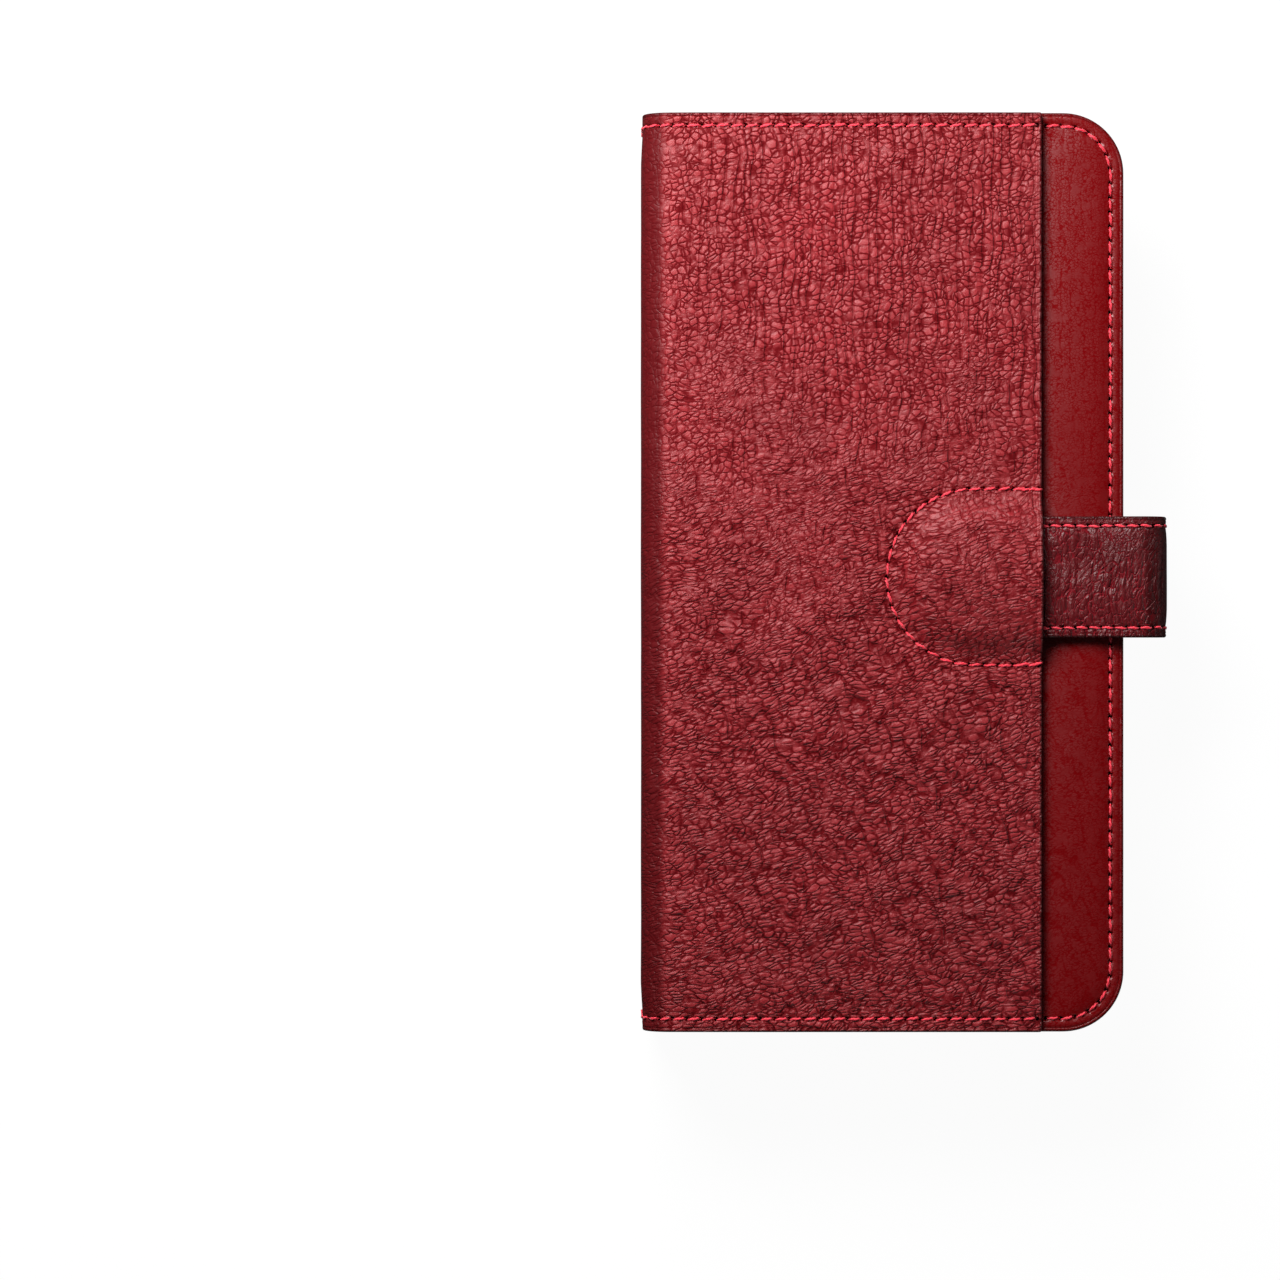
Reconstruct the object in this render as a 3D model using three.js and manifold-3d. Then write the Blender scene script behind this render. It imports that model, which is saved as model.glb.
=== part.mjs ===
// Phone wallet case: a book-shaped leather wallet with a wrap-around cover, a closing strap that tucks into a
// half-round sleeve, a phone pouch in the back cover and card slots in the front cover.
// Millimetres. It lies closed on its back cover: +Z is its thickness, +Y its top edge, +X its opening edge.
import * as THREE from "three";
import { mergeVertices } from "three/addons/utils/BufferGeometryUtils.js";
import Module from "manifold-3d";

const wasm = await Module();
wasm.setup();

// Driving dimensions
const COVER_WIDTH = 100; // the spine's outer face to the opening edge
const COVER_HEIGHT = 190;
const CLOSED_THICKNESS = 28; // back cover's outer face to front panel's outer face
const CORNER_RADIUS = 12.5; // the covers' corners at the opening edge
const FOLD_RADIUS = 6; // outer bend between a cover and the spine
const LEATHER = 1.2;
const SMOOTH_LEATHER = 1;
const THIN = 0.6; // boards, linings and the bill pocket
const GAP = 0.3; // clearance between neighbouring pieces
const SPLIT = THREE.MathUtils.degToRad(2.5); // half of the cut where two bodies meet in a bend
const FOLD_CLEARANCE = 1; // end of a fold to the boards and the phone pouch

const BOARD_INSET = 3;
const LINING_INSET = 0.2;

const PANEL_SETBACK = 17; // opening edge to the front panel's free edge
const SLEEVE_HALF_HEIGHT = 18.2;
const SLEEVE_STRAIGHT = 13.8; // straight stretch between the free edge and the half-round end
const SLEEVE_RISE = 2.6;
const SLEEVE_RAMP = 4.5;
const SLEEVE_WALL = 1.1;
const SLEEVE_SIDES = 20; // facets round its half-round end
const SHOULDER_STEPS = 4;

const STRAP_WIDTH = 25;
const STRAP_MIDDLE = -1; // in Y
const STRAP_REACH = 9; // the riser's outer face past the opening edge
const STRAP_LINING = 0.9;
const STRAP_ROOT_RADIUS = 6.5;
const STRAP_BEND_RADIUS = 5;
const STRAP_ANCHOR = 7; // length sewn down on the back cover's lining
const TONGUE_TUCK = 24.5; // length of the tongue inside the sleeve

const POUCH_DEPTH = 11.7; // inside, for a phone with a thin bumper
const POUCH_WALL = 1.5;
const POUCH_PANEL = 1;
const POUCH_LENGTH = 177;
const POUCH_WIDTH = 84.5;
const POUCH_BASE_MARGIN = 4; // bottom edge of the cover to the pouch
const POUCH_CORNER = 6;
const THUMB_NOTCH_RADIUS = 9;

const SLOT_COUNT = 6;
const SLOT_SHEET = 0.5;
const SLOT_PITCH = 13;
const SLOT_WIDTH = 88; // an 85.6 mm card and its side seams
const SLOT_DEPTH = 56; // a 54 mm card and its bottom seam
const SLOT_TOP_MARGIN = 15; // the cover's top edge to the first mouth
const SLOT_BOTTOM_MARGIN = 5;
const SLOT_CORNER = 2;
const BILL_POCKET_INSET = 2; // opening edge to the bill pocket
const BILL_POCKET_CLEARANCE = 1.5; // end of the fold to the bill pocket

// How finely curves are cut up, and how far a trimming solid runs past the piece that it trims
const CURVE_SEGMENTS = 10;
const ARC_STEP = THREE.MathUtils.degToRad(9);
const MERGE_DISTANCE = 1e-4;
const OVERSHOOT = 1;

// Places worked out from them
const HALF_HEIGHT = COVER_HEIGHT / 2;
const SPINE_X = -(COVER_WIDTH + STRAP_REACH) / 2;
const EDGE_X = SPINE_X + COVER_WIDTH;
const RISER_X = EDGE_X + STRAP_REACH;
const FOLD_X = SPINE_X + FOLD_RADIUS;
const PANEL_EDGE_X = EDGE_X - PANEL_SETBACK;
const COVER_STACK = LEATHER + GAP + THIN + GAP + THIN; // leather, board and lining
const BASE_TOP = CLOSED_THICKNESS - LEATHER - GAP; // outer face of the smooth leather under the panel
const STRAP_THICKNESS = LEATHER + GAP + STRAP_LINING;
const STRAP_LOW = COVER_STACK + GAP;
const STRAP_HIGH = BASE_TOP + GAP + STRAP_THICKNESS;
const DEG45 = Math.PI / 4;

const lowerFold = { x: FOLD_X, z: FOLD_RADIUS, r: FOLD_RADIUS };
const upperFold = { x: FOLD_X, z: CLOSED_THICKNESS - FOLD_RADIUS, r: FOLD_RADIUS };
const strapRoot = { x: RISER_X - STRAP_ROOT_RADIUS, z: STRAP_LOW + STRAP_ROOT_RADIUS, r: STRAP_ROOT_RADIUS };
const strapBend = { x: RISER_X - STRAP_BEND_RADIUS, z: STRAP_HIGH - STRAP_BEND_RADIUS, r: STRAP_BEND_RADIUS };

const grainLeather = { color: 0x8c2a30, roughness: 0.5, metalness: 0 };
const smoothLeather = { color: 0x7d1418, roughness: 0.35, metalness: 0 };
const strapLeather = { color: 0x5e1a20, roughness: 0.5, metalness: 0 };
const liningLeather = { color: 0x6d2226, roughness: 0.6, metalness: 0 };
const cardboard = { color: 0x8a7a66, roughness: 0.9, metalness: 0 };

const group = new THREE.Group();

function addPart(name, geometry, look) {
  const mesh = new THREE.Mesh(geometry, new THREE.MeshStandardMaterial(look));
  mesh.name = name;
  group.add(mesh);
}

// A closed geometry as a solid that can be cut and joined, and back again.
function solid(geometry) {
  const bare = geometry.clone();
  bare.deleteAttribute("normal");
  bare.deleteAttribute("uv");
  const merged = mergeVertices(bare, MERGE_DISTANCE);
  const vertProperties = merged.attributes.position.array;
  const triVerts = new Uint32Array(merged.index.array);
  return new wasm.Manifold(new wasm.Mesh({ numProp: 3, vertProperties, triVerts }));
}

function surface(made) {
  const mesh = made.getMesh();
  const geometry = new THREE.BufferGeometry();
  geometry.setAttribute("position", new THREE.BufferAttribute(mesh.vertProperties, mesh.numProp));
  geometry.setIndex(new THREE.BufferAttribute(mesh.triVerts, 1));
  geometry.computeVertexNormals();
  return geometry;
}

// A plan outline in X and Y, given thickness upward from z.
function layer(outline, z, thickness) {
  const settings = { depth: thickness, bevelEnabled: false, curveSegments: CURVE_SEGMENTS };
  return new THREE.ExtrudeGeometry(outline, settings).translate(0, 0, z);
}

// A cross-section in X and Z, given width along Y.
function extrudeAlongY(section, width, middle = 0) {
  const geometry = new THREE.ExtrudeGeometry(section, { depth: width, bevelEnabled: false });
  geometry.rotateX(Math.PI / 2);
  return geometry.translate(0, middle + width / 2, 0);
}

// Rectangle whose two corners on the +X side are round.
function coverOutline(left, right, half, radius) {
  const shape = new THREE.Shape();
  shape.moveTo(left, half);
  shape.lineTo(left, -half);
  shape.absarc(right - radius, -half + radius, radius, -Math.PI / 2, 0, false);
  shape.absarc(right - radius, half - radius, radius, 0, Math.PI / 2, false);
  return shape;
}

// Points along a bend, `depth` under its outer side.
function arcPoints({ x, z, r }, from, to, depth) {
  const steps = Math.ceil(Math.abs(to - from) / ARC_STEP);
  return Array.from({ length: steps + 1 }, (_, i) => {
    const angle = from + ((to - from) * i) / steps;
    return new THREE.Vector2(x + (r - depth) * Math.cos(angle), z + (r - depth) * Math.sin(angle));
  });
}

// Cross-section of a band that follows bends. `side` gives one side's points at a depth under the outer side.
function bandSection(side, depth, thickness) {
  return new THREE.Shape([...side(depth), ...side(depth + thickness).reverse()]);
}

const backSide = (depth) => [
  new THREE.Vector2(EDGE_X, depth),
  ...arcPoints(lowerFold, -2 * DEG45, -3 * DEG45 + SPLIT, depth),
];
const spineSide = (depth) => [
  ...arcPoints(lowerFold, -3 * DEG45 - SPLIT, -4 * DEG45, depth),
  ...arcPoints(upperFold, 4 * DEG45, 3 * DEG45 + SPLIT, depth),
];
const frontSide = (depth) => [
  ...arcPoints(upperFold, 3 * DEG45 - SPLIT, 2 * DEG45, depth),
  new THREE.Vector2(PANEL_EDGE_X, CLOSED_THICKNESS - depth),
];
const strapBaseSide = (depth) => [
  new THREE.Vector2(EDGE_X - STRAP_ANCHOR, STRAP_LOW + depth),
  ...arcPoints(strapRoot, -2 * DEG45, -DEG45 - SPLIT, depth),
];
const riserSide = (depth) => [
  ...arcPoints(strapRoot, -DEG45 + SPLIT, 0, depth),
  ...arcPoints(strapBend, 0, DEG45 - SPLIT, depth),
];
const tongueSide = (depth) => [
  ...arcPoints(strapBend, DEG45 + SPLIT, 2 * DEG45, depth),
  new THREE.Vector2(PANEL_EDGE_X - TONGUE_TUCK, STRAP_HIGH - depth),
];

// The covers' and the spine's outer leather
function backLeather() {
  const bent = solid(extrudeAlongY(bandSection(backSide, 0, LEATHER), COVER_HEIGHT));
  const outline = coverOutline(SPINE_X - OVERSHOOT, EDGE_X, HALF_HEIGHT, CORNER_RADIUS);
  return surface(bent.intersect(solid(layer(outline, -OVERSHOOT, FOLD_RADIUS))));
}

// Plan of the sleeve at one height, run on past the panel's free edge so that its open end can be trimmed there.
function sleeveRing(half, z) {
  const centre = PANEL_EDGE_X - SLEEVE_STRAIGHT;
  const turn = Array.from({ length: SLEEVE_SIDES + 1 }, (_, i) => {
    const angle = Math.PI / 2 + (Math.PI * i) / SLEEVE_SIDES;
    return new THREE.Vector3(centre + half * Math.cos(angle), STRAP_MIDDLE + half * Math.sin(angle), z);
  });
  const ends = [-half, half].map((y) => new THREE.Vector3(EDGE_X, STRAP_MIDDLE + y, z));
  return [...turn, ...ends];
}

// A closed solid through convex rings of equal length, from the lowest to the highest.
function loft(rings) {
  const count = rings[0].length;
  const faces = [];
  for (let k = 0; k + 1 < rings.length; k += 1) {
    for (let i = 0; i < count; i += 1) {
      const [a, b] = [k * count + i, k * count + ((i + 1) % count)];
      faces.push(a, b, b + count, a, b + count, a + count);
    }
  }
  const top = (rings.length - 1) * count;
  for (let i = 1; i + 1 < count; i += 1) {
    faces.push(0, i + 1, i, top, top + i, top + i + 1);
  }
  return new THREE.BufferGeometry().setFromPoints(rings.flat()).setIndex(faces);
}

// A dome over the sleeve's plan: an upright foot, then round shoulders that end at `top`.
function sleeveDome(half, ramp, base, top) {
  const shoulders = Array.from({ length: SHOULDER_STEPS + 1 }, (_, i) => {
    const angle = (Math.PI / 2) * (i / SHOULDER_STEPS);
    return sleeveRing(half - ramp * (1 - Math.cos(angle)), base + (top - base) * Math.sin(angle));
  });
  return solid(loft([sleeveRing(half, base - LEATHER), ...shoulders]));
}

function frontPanel() {
  const sleeveTop = CLOSED_THICKNESS + SLEEVE_RISE;
  const inside = CLOSED_THICKNESS - LEATHER;
  const plate = solid(extrudeAlongY(bandSection(frontSide, 0, LEATHER), COVER_HEIGHT));
  const outer = sleeveDome(SLEEVE_HALF_HEIGHT, SLEEVE_RAMP, CLOSED_THICKNESS, sleeveTop);
  const inner = sleeveDome(
    SLEEVE_HALF_HEIGHT - SLEEVE_WALL, SLEEVE_RAMP - GAP, inside, sleeveTop - SLEEVE_WALL,
  );
  const keep = coverOutline(SPINE_X - OVERSHOOT, PANEL_EDGE_X, COVER_HEIGHT, CORNER_RADIUS);
  const above = solid(layer(keep, inside, COVER_WIDTH));
  const fold = coverOutline(SPINE_X - OVERSHOOT, FOLD_X + OVERSHOOT, COVER_HEIGHT, OVERSHOOT);
  const folded = solid(layer(fold, 0, COVER_WIDTH));
  return surface(plate.add(outer).subtract(inner).intersect(above.add(folded)));
}

addPart("back_leather", backLeather(), grainLeather);
addPart("spine_leather", extrudeAlongY(bandSection(spineSide, 0, LEATHER), COVER_HEIGHT), grainLeather);
addPart("front_panel", frontPanel(), grainLeather);

// Flat layers of the two covers, from the outside in
const baseLow = BASE_TOP - SMOOTH_LEATHER;
const frontBoardLow = baseLow - GAP - THIN;
const frontLiningLow = frontBoardLow - GAP - THIN;
const billPocketLow = frontLiningLow - GAP - THIN;

const boardOutline = coverOutline(
  FOLD_X + FOLD_CLEARANCE, EDGE_X - BOARD_INSET, HALF_HEIGHT - BOARD_INSET, CORNER_RADIUS - BOARD_INSET,
);
const liningOutline = coverOutline(
  FOLD_X, EDGE_X - LINING_INSET, HALF_HEIGHT - LINING_INSET, CORNER_RADIUS - LINING_INSET,
);
const baseOutline = coverOutline(FOLD_X, EDGE_X, HALF_HEIGHT, CORNER_RADIUS);
addPart("back_board", layer(boardOutline, LEATHER + GAP, THIN), cardboard);
addPart("back_lining", layer(liningOutline, LEATHER + GAP + THIN + GAP, THIN), liningLeather);
addPart("front_base_leather", layer(baseOutline, baseLow, SMOOTH_LEATHER), smoothLeather);
addPart("front_board", layer(boardOutline, frontBoardLow, THIN), cardboard);
addPart("front_lining", layer(liningOutline, frontLiningLow, THIN), liningLeather);

// The spine's board and lining stand between the two folds.
function spineLayer(depth, halfHeight) {
  const low = FOLD_RADIUS;
  const high = CLOSED_THICKNESS - FOLD_RADIUS;
  const geometry = new THREE.BoxGeometry(THIN, 2 * halfHeight, high - low);
  return geometry.translate(SPINE_X + depth + THIN / 2, 0, (low + high) / 2);
}
addPart("spine_board", spineLayer(LEATHER + GAP, HALF_HEIGHT - BOARD_INSET), cardboard);
addPart("spine_lining", spineLayer(LEATHER + GAP + THIN + GAP, HALF_HEIGHT - LINING_INSET), liningLeather);

// Phone pouch: a U-shaped side wall and a panel, on the back cover's lining, open at the top
const pouchLeft = FOLD_X + FOLD_CLEARANCE;
const pouchRight = pouchLeft + POUCH_WIDTH;
const pouchBottom = -HALF_HEIGHT + POUCH_BASE_MARGIN;
const pouchTop = pouchBottom + POUCH_LENGTH;
const pouchLow = COVER_STACK + GAP;
const pouchMiddle = (pouchLeft + pouchRight) / 2;

function gussetOutline() {
  const shape = new THREE.Shape();
  const inner = POUCH_CORNER - POUCH_WALL;
  const low = pouchBottom + POUCH_CORNER;
  shape.moveTo(pouchLeft, pouchTop);
  shape.lineTo(pouchLeft, low);
  shape.absarc(pouchLeft + POUCH_CORNER, low, POUCH_CORNER, Math.PI, (3 * Math.PI) / 2, false);
  shape.absarc(pouchRight - POUCH_CORNER, low, POUCH_CORNER, -Math.PI / 2, 0, false);
  shape.lineTo(pouchRight, pouchTop);
  shape.lineTo(pouchRight - POUCH_WALL, pouchTop);
  shape.absarc(pouchRight - POUCH_CORNER, low, inner, 0, -Math.PI / 2, true);
  shape.absarc(pouchLeft + POUCH_CORNER, low, inner, (3 * Math.PI) / 2, Math.PI, true);
  shape.lineTo(pouchLeft + POUCH_WALL, pouchTop);
  return shape;
}

function pouchPanelOutline() {
  const shape = new THREE.Shape();
  const low = pouchBottom + POUCH_CORNER;
  shape.moveTo(pouchLeft, pouchTop);
  shape.lineTo(pouchLeft, low);
  shape.absarc(pouchLeft + POUCH_CORNER, low, POUCH_CORNER, Math.PI, (3 * Math.PI) / 2, false);
  shape.absarc(pouchRight - POUCH_CORNER, low, POUCH_CORNER, -Math.PI / 2, 0, false);
  shape.lineTo(pouchRight, pouchTop);
  shape.absarc(pouchMiddle, pouchTop, THUMB_NOTCH_RADIUS, 0, -Math.PI, true);
  return shape;
}
const pouchWallHeight = POUCH_DEPTH - GAP;
addPart("phone_pouch_gusset", layer(gussetOutline(), pouchLow, pouchWallHeight), liningLeather);
const pouchPanelLow = pouchLow + pouchWallHeight + GAP;
addPart("phone_pouch_panel", layer(pouchPanelOutline(), pouchPanelLow, POUCH_PANEL), liningLeather);

// Bill pocket and stepped card slots on the inside of the front cover, each sheet lower than the one behind it
const billOutline = coverOutline(
  FOLD_X + BILL_POCKET_CLEARANCE,
  EDGE_X - BILL_POCKET_INSET,
  HALF_HEIGHT - BOARD_INSET,
  CORNER_RADIUS - BOARD_INSET,
);
addPart("bill_pocket_panel", layer(billOutline, billPocketLow, THIN), liningLeather);

const slotRight = EDGE_X - BOARD_INSET;
const slotLeft = slotRight - SLOT_WIDTH;
const slotBottom = -HALF_HEIGHT + SLOT_BOTTOM_MARGIN;

function slotOutline(bottom, mouth) {
  const shape = new THREE.Shape();
  shape.moveTo(slotLeft, bottom);
  shape.lineTo(slotRight, bottom);
  shape.absarc(slotRight - SLOT_CORNER, mouth - SLOT_CORNER, SLOT_CORNER, 0, Math.PI / 2, false);
  shape.absarc(slotLeft + SLOT_CORNER, mouth - SLOT_CORNER, SLOT_CORNER, Math.PI / 2, Math.PI, false);
  return shape;
}
for (let i = 0; i < SLOT_COUNT; i += 1) {
  const mouth = HALF_HEIGHT - SLOT_TOP_MARGIN - i * SLOT_PITCH;
  const bottom = i === SLOT_COUNT - 1 ? slotBottom : mouth - SLOT_DEPTH;
  const low = billPocketLow - (i + 1) * (GAP + SLOT_SHEET);
  addPart("card_slot_" + (i + 1), layer(slotOutline(bottom, mouth), low, SLOT_SHEET), liningLeather);
}

// The strap: an outer layer and a lining, each in three lengths that turn at the strap's two bends
const strapLayers = [
  ["outer", 0, LEATHER, strapLeather],
  ["lining", LEATHER + GAP, STRAP_LINING, liningLeather],
];

function tongueOutline() {
  const half = STRAP_WIDTH / 2;
  const shape = new THREE.Shape();
  const centre = PANEL_EDGE_X - TONGUE_TUCK + half;
  shape.moveTo(RISER_X + OVERSHOOT, STRAP_MIDDLE + half);
  shape.lineTo(centre, STRAP_MIDDLE + half);
  shape.absarc(centre, STRAP_MIDDLE, half, Math.PI / 2, (3 * Math.PI) / 2, false);
  shape.lineTo(RISER_X + OVERSHOOT, STRAP_MIDDLE - half);
  return shape;
}
for (const [name, depth, thickness, look] of strapLayers) {
  const length = (side) => extrudeAlongY(bandSection(side, depth, thickness), STRAP_WIDTH, STRAP_MIDDLE);
  const roundEnd = solid(layer(tongueOutline(), 0, 2 * CLOSED_THICKNESS));
  addPart("strap_base_" + name, length(strapBaseSide), look);
  addPart("strap_riser_" + name, length(riserSide), look);
  addPart("strap_tongue_" + name, surface(solid(length(tongueSide)).intersect(roundEnd)), look);
}

export default group;
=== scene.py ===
"""Phone wallet case: its looks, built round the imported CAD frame.
Lengths are in millimetres until a mesh is made."""
import math

import bpy
import numpy as np
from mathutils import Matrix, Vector
from mathutils.geometry import delaunay_2d_cdt

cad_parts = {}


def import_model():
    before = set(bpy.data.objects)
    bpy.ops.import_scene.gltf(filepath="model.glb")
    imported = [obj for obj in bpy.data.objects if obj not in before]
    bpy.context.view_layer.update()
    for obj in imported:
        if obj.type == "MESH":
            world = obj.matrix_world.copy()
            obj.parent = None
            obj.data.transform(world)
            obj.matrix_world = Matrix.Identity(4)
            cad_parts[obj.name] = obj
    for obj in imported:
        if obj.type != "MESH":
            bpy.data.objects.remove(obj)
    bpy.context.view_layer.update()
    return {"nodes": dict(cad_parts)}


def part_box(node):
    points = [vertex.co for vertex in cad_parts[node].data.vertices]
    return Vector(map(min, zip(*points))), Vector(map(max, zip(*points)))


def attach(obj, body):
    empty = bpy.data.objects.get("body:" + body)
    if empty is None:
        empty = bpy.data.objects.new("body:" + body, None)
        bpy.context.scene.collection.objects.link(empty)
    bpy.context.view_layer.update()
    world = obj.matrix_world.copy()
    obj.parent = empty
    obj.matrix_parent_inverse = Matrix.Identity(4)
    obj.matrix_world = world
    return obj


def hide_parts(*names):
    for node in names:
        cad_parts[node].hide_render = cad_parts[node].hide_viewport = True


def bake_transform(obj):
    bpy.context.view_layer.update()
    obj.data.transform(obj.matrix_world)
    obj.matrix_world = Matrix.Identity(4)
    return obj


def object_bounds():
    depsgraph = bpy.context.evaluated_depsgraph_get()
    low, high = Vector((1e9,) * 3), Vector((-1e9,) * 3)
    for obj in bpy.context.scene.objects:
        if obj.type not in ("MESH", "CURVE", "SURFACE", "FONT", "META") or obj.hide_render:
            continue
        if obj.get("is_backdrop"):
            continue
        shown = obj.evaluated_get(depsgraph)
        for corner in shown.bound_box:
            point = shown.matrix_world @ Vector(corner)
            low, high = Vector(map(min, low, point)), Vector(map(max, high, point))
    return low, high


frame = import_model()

MM = 0.001
RANDOM = np.random.default_rng(7)


# ---- sizes, from the frame

def span(node):
    """A CAD node's lowest and highest corner, in millimetres."""
    low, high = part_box(node)
    return np.array(low) / MM, np.array(high) / MM


back_lining_low, back_lining_high = span("back_lining")
front_lining_low, front_lining_high = span("front_lining")
tongue_low, tongue_high = span("strap_tongue_outer")
strap_base_low = span("strap_base_outer")[0]

FOLD = 6.0  # outer radius of the leather at the spine
CORNER = 12.5  # the covers' corners at the opening edge
LEATHER = 1.2
EDGE, HALF, _ = span("back_leather")[1]  # the opening edge, and half of the cover's height
SPINE = span("spine_leather")[0][0]  # the spine's outer face
SPINE_INNER = span("spine_lining")[1][0]
GAP = 0.3  # between the CAD's neighbouring pieces
BASE_TOP = span("front_base_leather")[1][2]
THICK = BASE_TOP + GAP + LEATHER  # closed thickness at the front panel
MID_Z = THICK / 2
PANEL_EDGE = span("front_panel")[1][0]  # the panel's free edge
LINING = 0.6
CLOSE = 0.04  # left between pieces that lie on each other
STRAP_HALF = (tongue_high[1] - tongue_low[1]) / 2
STRAP_Y = (tongue_high[1] + tongue_low[1]) / 2
STRAP_OUTER = span("strap_riser_outer")[1][0]
STRAP_TOP = tongue_high[2]
STRAP_LOW = strap_base_low[2]
STRAP_THICK = 2.4
ROOT_RADIUS = 6.5
BEND_RADIUS = 5.0
SLEEVE_HALF = 18.2
SLEEVE_STRAIGHT = 13.8
SLEEVE_RISE = 2.65
SEAM = 2.7  # outline to the stitch line
STITCH = 3.0  # stitch length
FINE_STITCH = 2.6  # on the strap and the card slots
HOLE = 0.55  # hole radius
PIT_DEPTH = 0.7  # how far the leather is pulled in at a hole
CHANNEL_WIDTH = 0.6  # half width of the trough that a seam lies in
PRESSED_AT, PRESSED_WIDTH, PRESSED_DEPTH = 0.78, 0.13, 0.11  # the line pressed beside every edge
EDGE_RINGS = (0, 0.03, 0.1, 0.2, 0.32, 0.45, 0.58, 0.68, 0.78, 0.88, 1.0)  # fine, round an edge
SEAM_RINGS = (1.7, 2.05, 3.35, 3.8, 4.6)  # on both sides of a seam
THREAD = 0.27  # thread radius
PLY_TWIST = 2.6  # turn of the thread's plies, radians for each millimetre


# ---- small maths

def smooth(x, low=0.0, high=1.0):
    x = np.clip((x - low) / (high - low), 0, 1)
    return x * x * (3 - 2 * x)


def bell(x, width):
    return np.exp(-((x / width) ** 2))


def edge_round(inset, radius):
    """How far a rounded edge lies under the face, `inset` inside the outline."""
    reach = radius - np.clip(inset, 0, radius)
    return radius - np.sqrt(np.maximum(radius**2 - reach**2, 0))


def ripple(s, t, size, seed):
    """Soft unevenness between about -1 and 1, with waves about `size` long."""
    draw = np.random.default_rng(seed)
    total = np.zeros_like(s)
    for _ in range(6):
        angle, phase = draw.uniform(0, 2 * math.pi, 2)
        wave = 2 * math.pi / (size * draw.uniform(0.7, 1.6))
        total += np.sin(wave * (s * math.cos(angle) + t * math.sin(angle)) + phase)
    return total / 3


class Track:
    """A line in the X-Z plane of straight runs and bends, each a (length, turn in degrees).
    The sheet's face is on its `side`: 1 left, -1 right."""

    def __init__(self, x, z, heading, side, *moves):
        self.side = side
        self.runs = []
        s, angle = 0.0, math.radians(heading)
        for length, turn in moves:
            turn = math.radians(turn)
            self.runs.append((s, length, x, z, angle, turn))
            if turn:
                r = length / turn
                x += r * (math.sin(angle + turn) - math.sin(angle))
                z += r * (math.cos(angle) - math.cos(angle + turn))
            else:
                x += length * math.cos(angle)
                z += length * math.sin(angle)
            s, angle = s + length, angle + turn
        self.length = s

    def place(self, s, t, rise):
        """Points `rise` above the sheet's face at length s along the track and t along Y."""
        x, z, angle = np.zeros_like(s), np.zeros_like(s), np.zeros_like(s)
        for index, (start, length, x0, z0, a0, turn) in enumerate(self.runs):
            last = index == len(self.runs) - 1
            here = (s >= start) & ((s < start + length) | last)
            d = s[here] - start
            if turn:
                r, a = length / turn, a0 + turn * d / length
                x[here] = x0 + r * (np.sin(a) - math.sin(a0))
                z[here] = z0 + r * (math.cos(a0) - np.cos(a))
                angle[here] = a
            else:
                x[here], z[here], angle[here] = x0 + d * math.cos(a0), z0 + d * math.sin(a0), a0
        nx, nz = -np.sin(angle) * self.side, np.cos(angle) * self.side
        return np.stack([x + nx * rise, t, z + nz * rise], axis=1)


def quarter(radius):
    return radius * math.pi / 2


# ---- outlines

class Outline:
    """A rectangle in (s, t) with a radius at each corner: right-low, right-high, left-high, left-low.
    `open_left` marks a side that is a cut through the leather, with no edge of its own."""

    def __init__(self, s0, s1, t0, t1, radii, open_left=False):
        self.s0, self.s1, self.t0, self.t1 = s0, s1, t0, t1
        self.radii = radii
        self.open_left = open_left
        self.left = s0 - 40 if open_left else s0

    def corners(self):
        """Each corner's place, its directions inward, and the angle that its arc starts from."""
        right, left, low, high = self.s1, self.left, self.t0, self.t1
        on_right = [(right, low, -1, 1, -90), (right, high, -1, -1, 0)]
        return on_right + [(left, high, 1, -1, 90), (left, low, 1, 1, 180)]

    def ring(self, inset, spacing=1.5):
        """The outline moved inward."""
        points = []
        for (cs, ct, ds, dt, start), r in zip(self.corners(), self.radii):
            keep = max(r, inset)
            steps = max(3, round(quarter(r) / 0.9))
            for a in np.radians(np.linspace(start, start + 90, steps + 1)):
                reach = max(r - inset, 0)
                points.append((cs + ds * keep + reach * math.cos(a), ct + dt * keep + reach * math.sin(a)))
        points.append(points[0])
        return resample(np.array(points), spacing, closed=True)

    def inset(self, s, t):
        """Distance inside the outline."""
        found = np.minimum(np.minimum(self.s1 - s, s - self.left), np.minimum(self.t1 - t, t - self.t0))
        for (cs, ct, ds, dt, _), r in zip(self.corners(), self.radii):
            over_s, over_t = (cs + ds * r - s) * ds, (ct + dt * r - t) * dt
            here = (over_s > 0) & (over_t > 0)
            found = np.where(here, r - np.hypot(over_s, over_t), found)
        return found


def resample(points, spacing, closed=False):
    """The same line with extra points, so that none are more than `spacing` apart. Corners stay."""
    out = []
    for a, b in zip(points[:-1], points[1:]):
        length = np.hypot(*(b - a))
        if length < 1e-6:
            continue
        count = max(1, math.ceil(length / spacing))
        out.extend(a + (b - a) * k / count for k in range(count))
    if not closed:
        out.append(points[-1])
    return np.array(out)


def even_steps(points, pitch):
    """Points a whole number of equal steps apart along a line, each about `pitch`."""
    lengths = np.concatenate([[0], np.cumsum(np.hypot(*np.diff(points, axis=0).T))])
    count = max(1, round(lengths[-1] / pitch))
    at = np.linspace(0, lengths[-1], count + 1)
    return np.stack([np.interp(at, lengths, points[:, 0]), np.interp(at, lengths, points[:, 1])], axis=1)


# ---- meshes

def placed(name, data):
    made = bpy.data.objects.new(name, data)
    bpy.context.scene.collection.objects.link(made)
    return made


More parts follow.
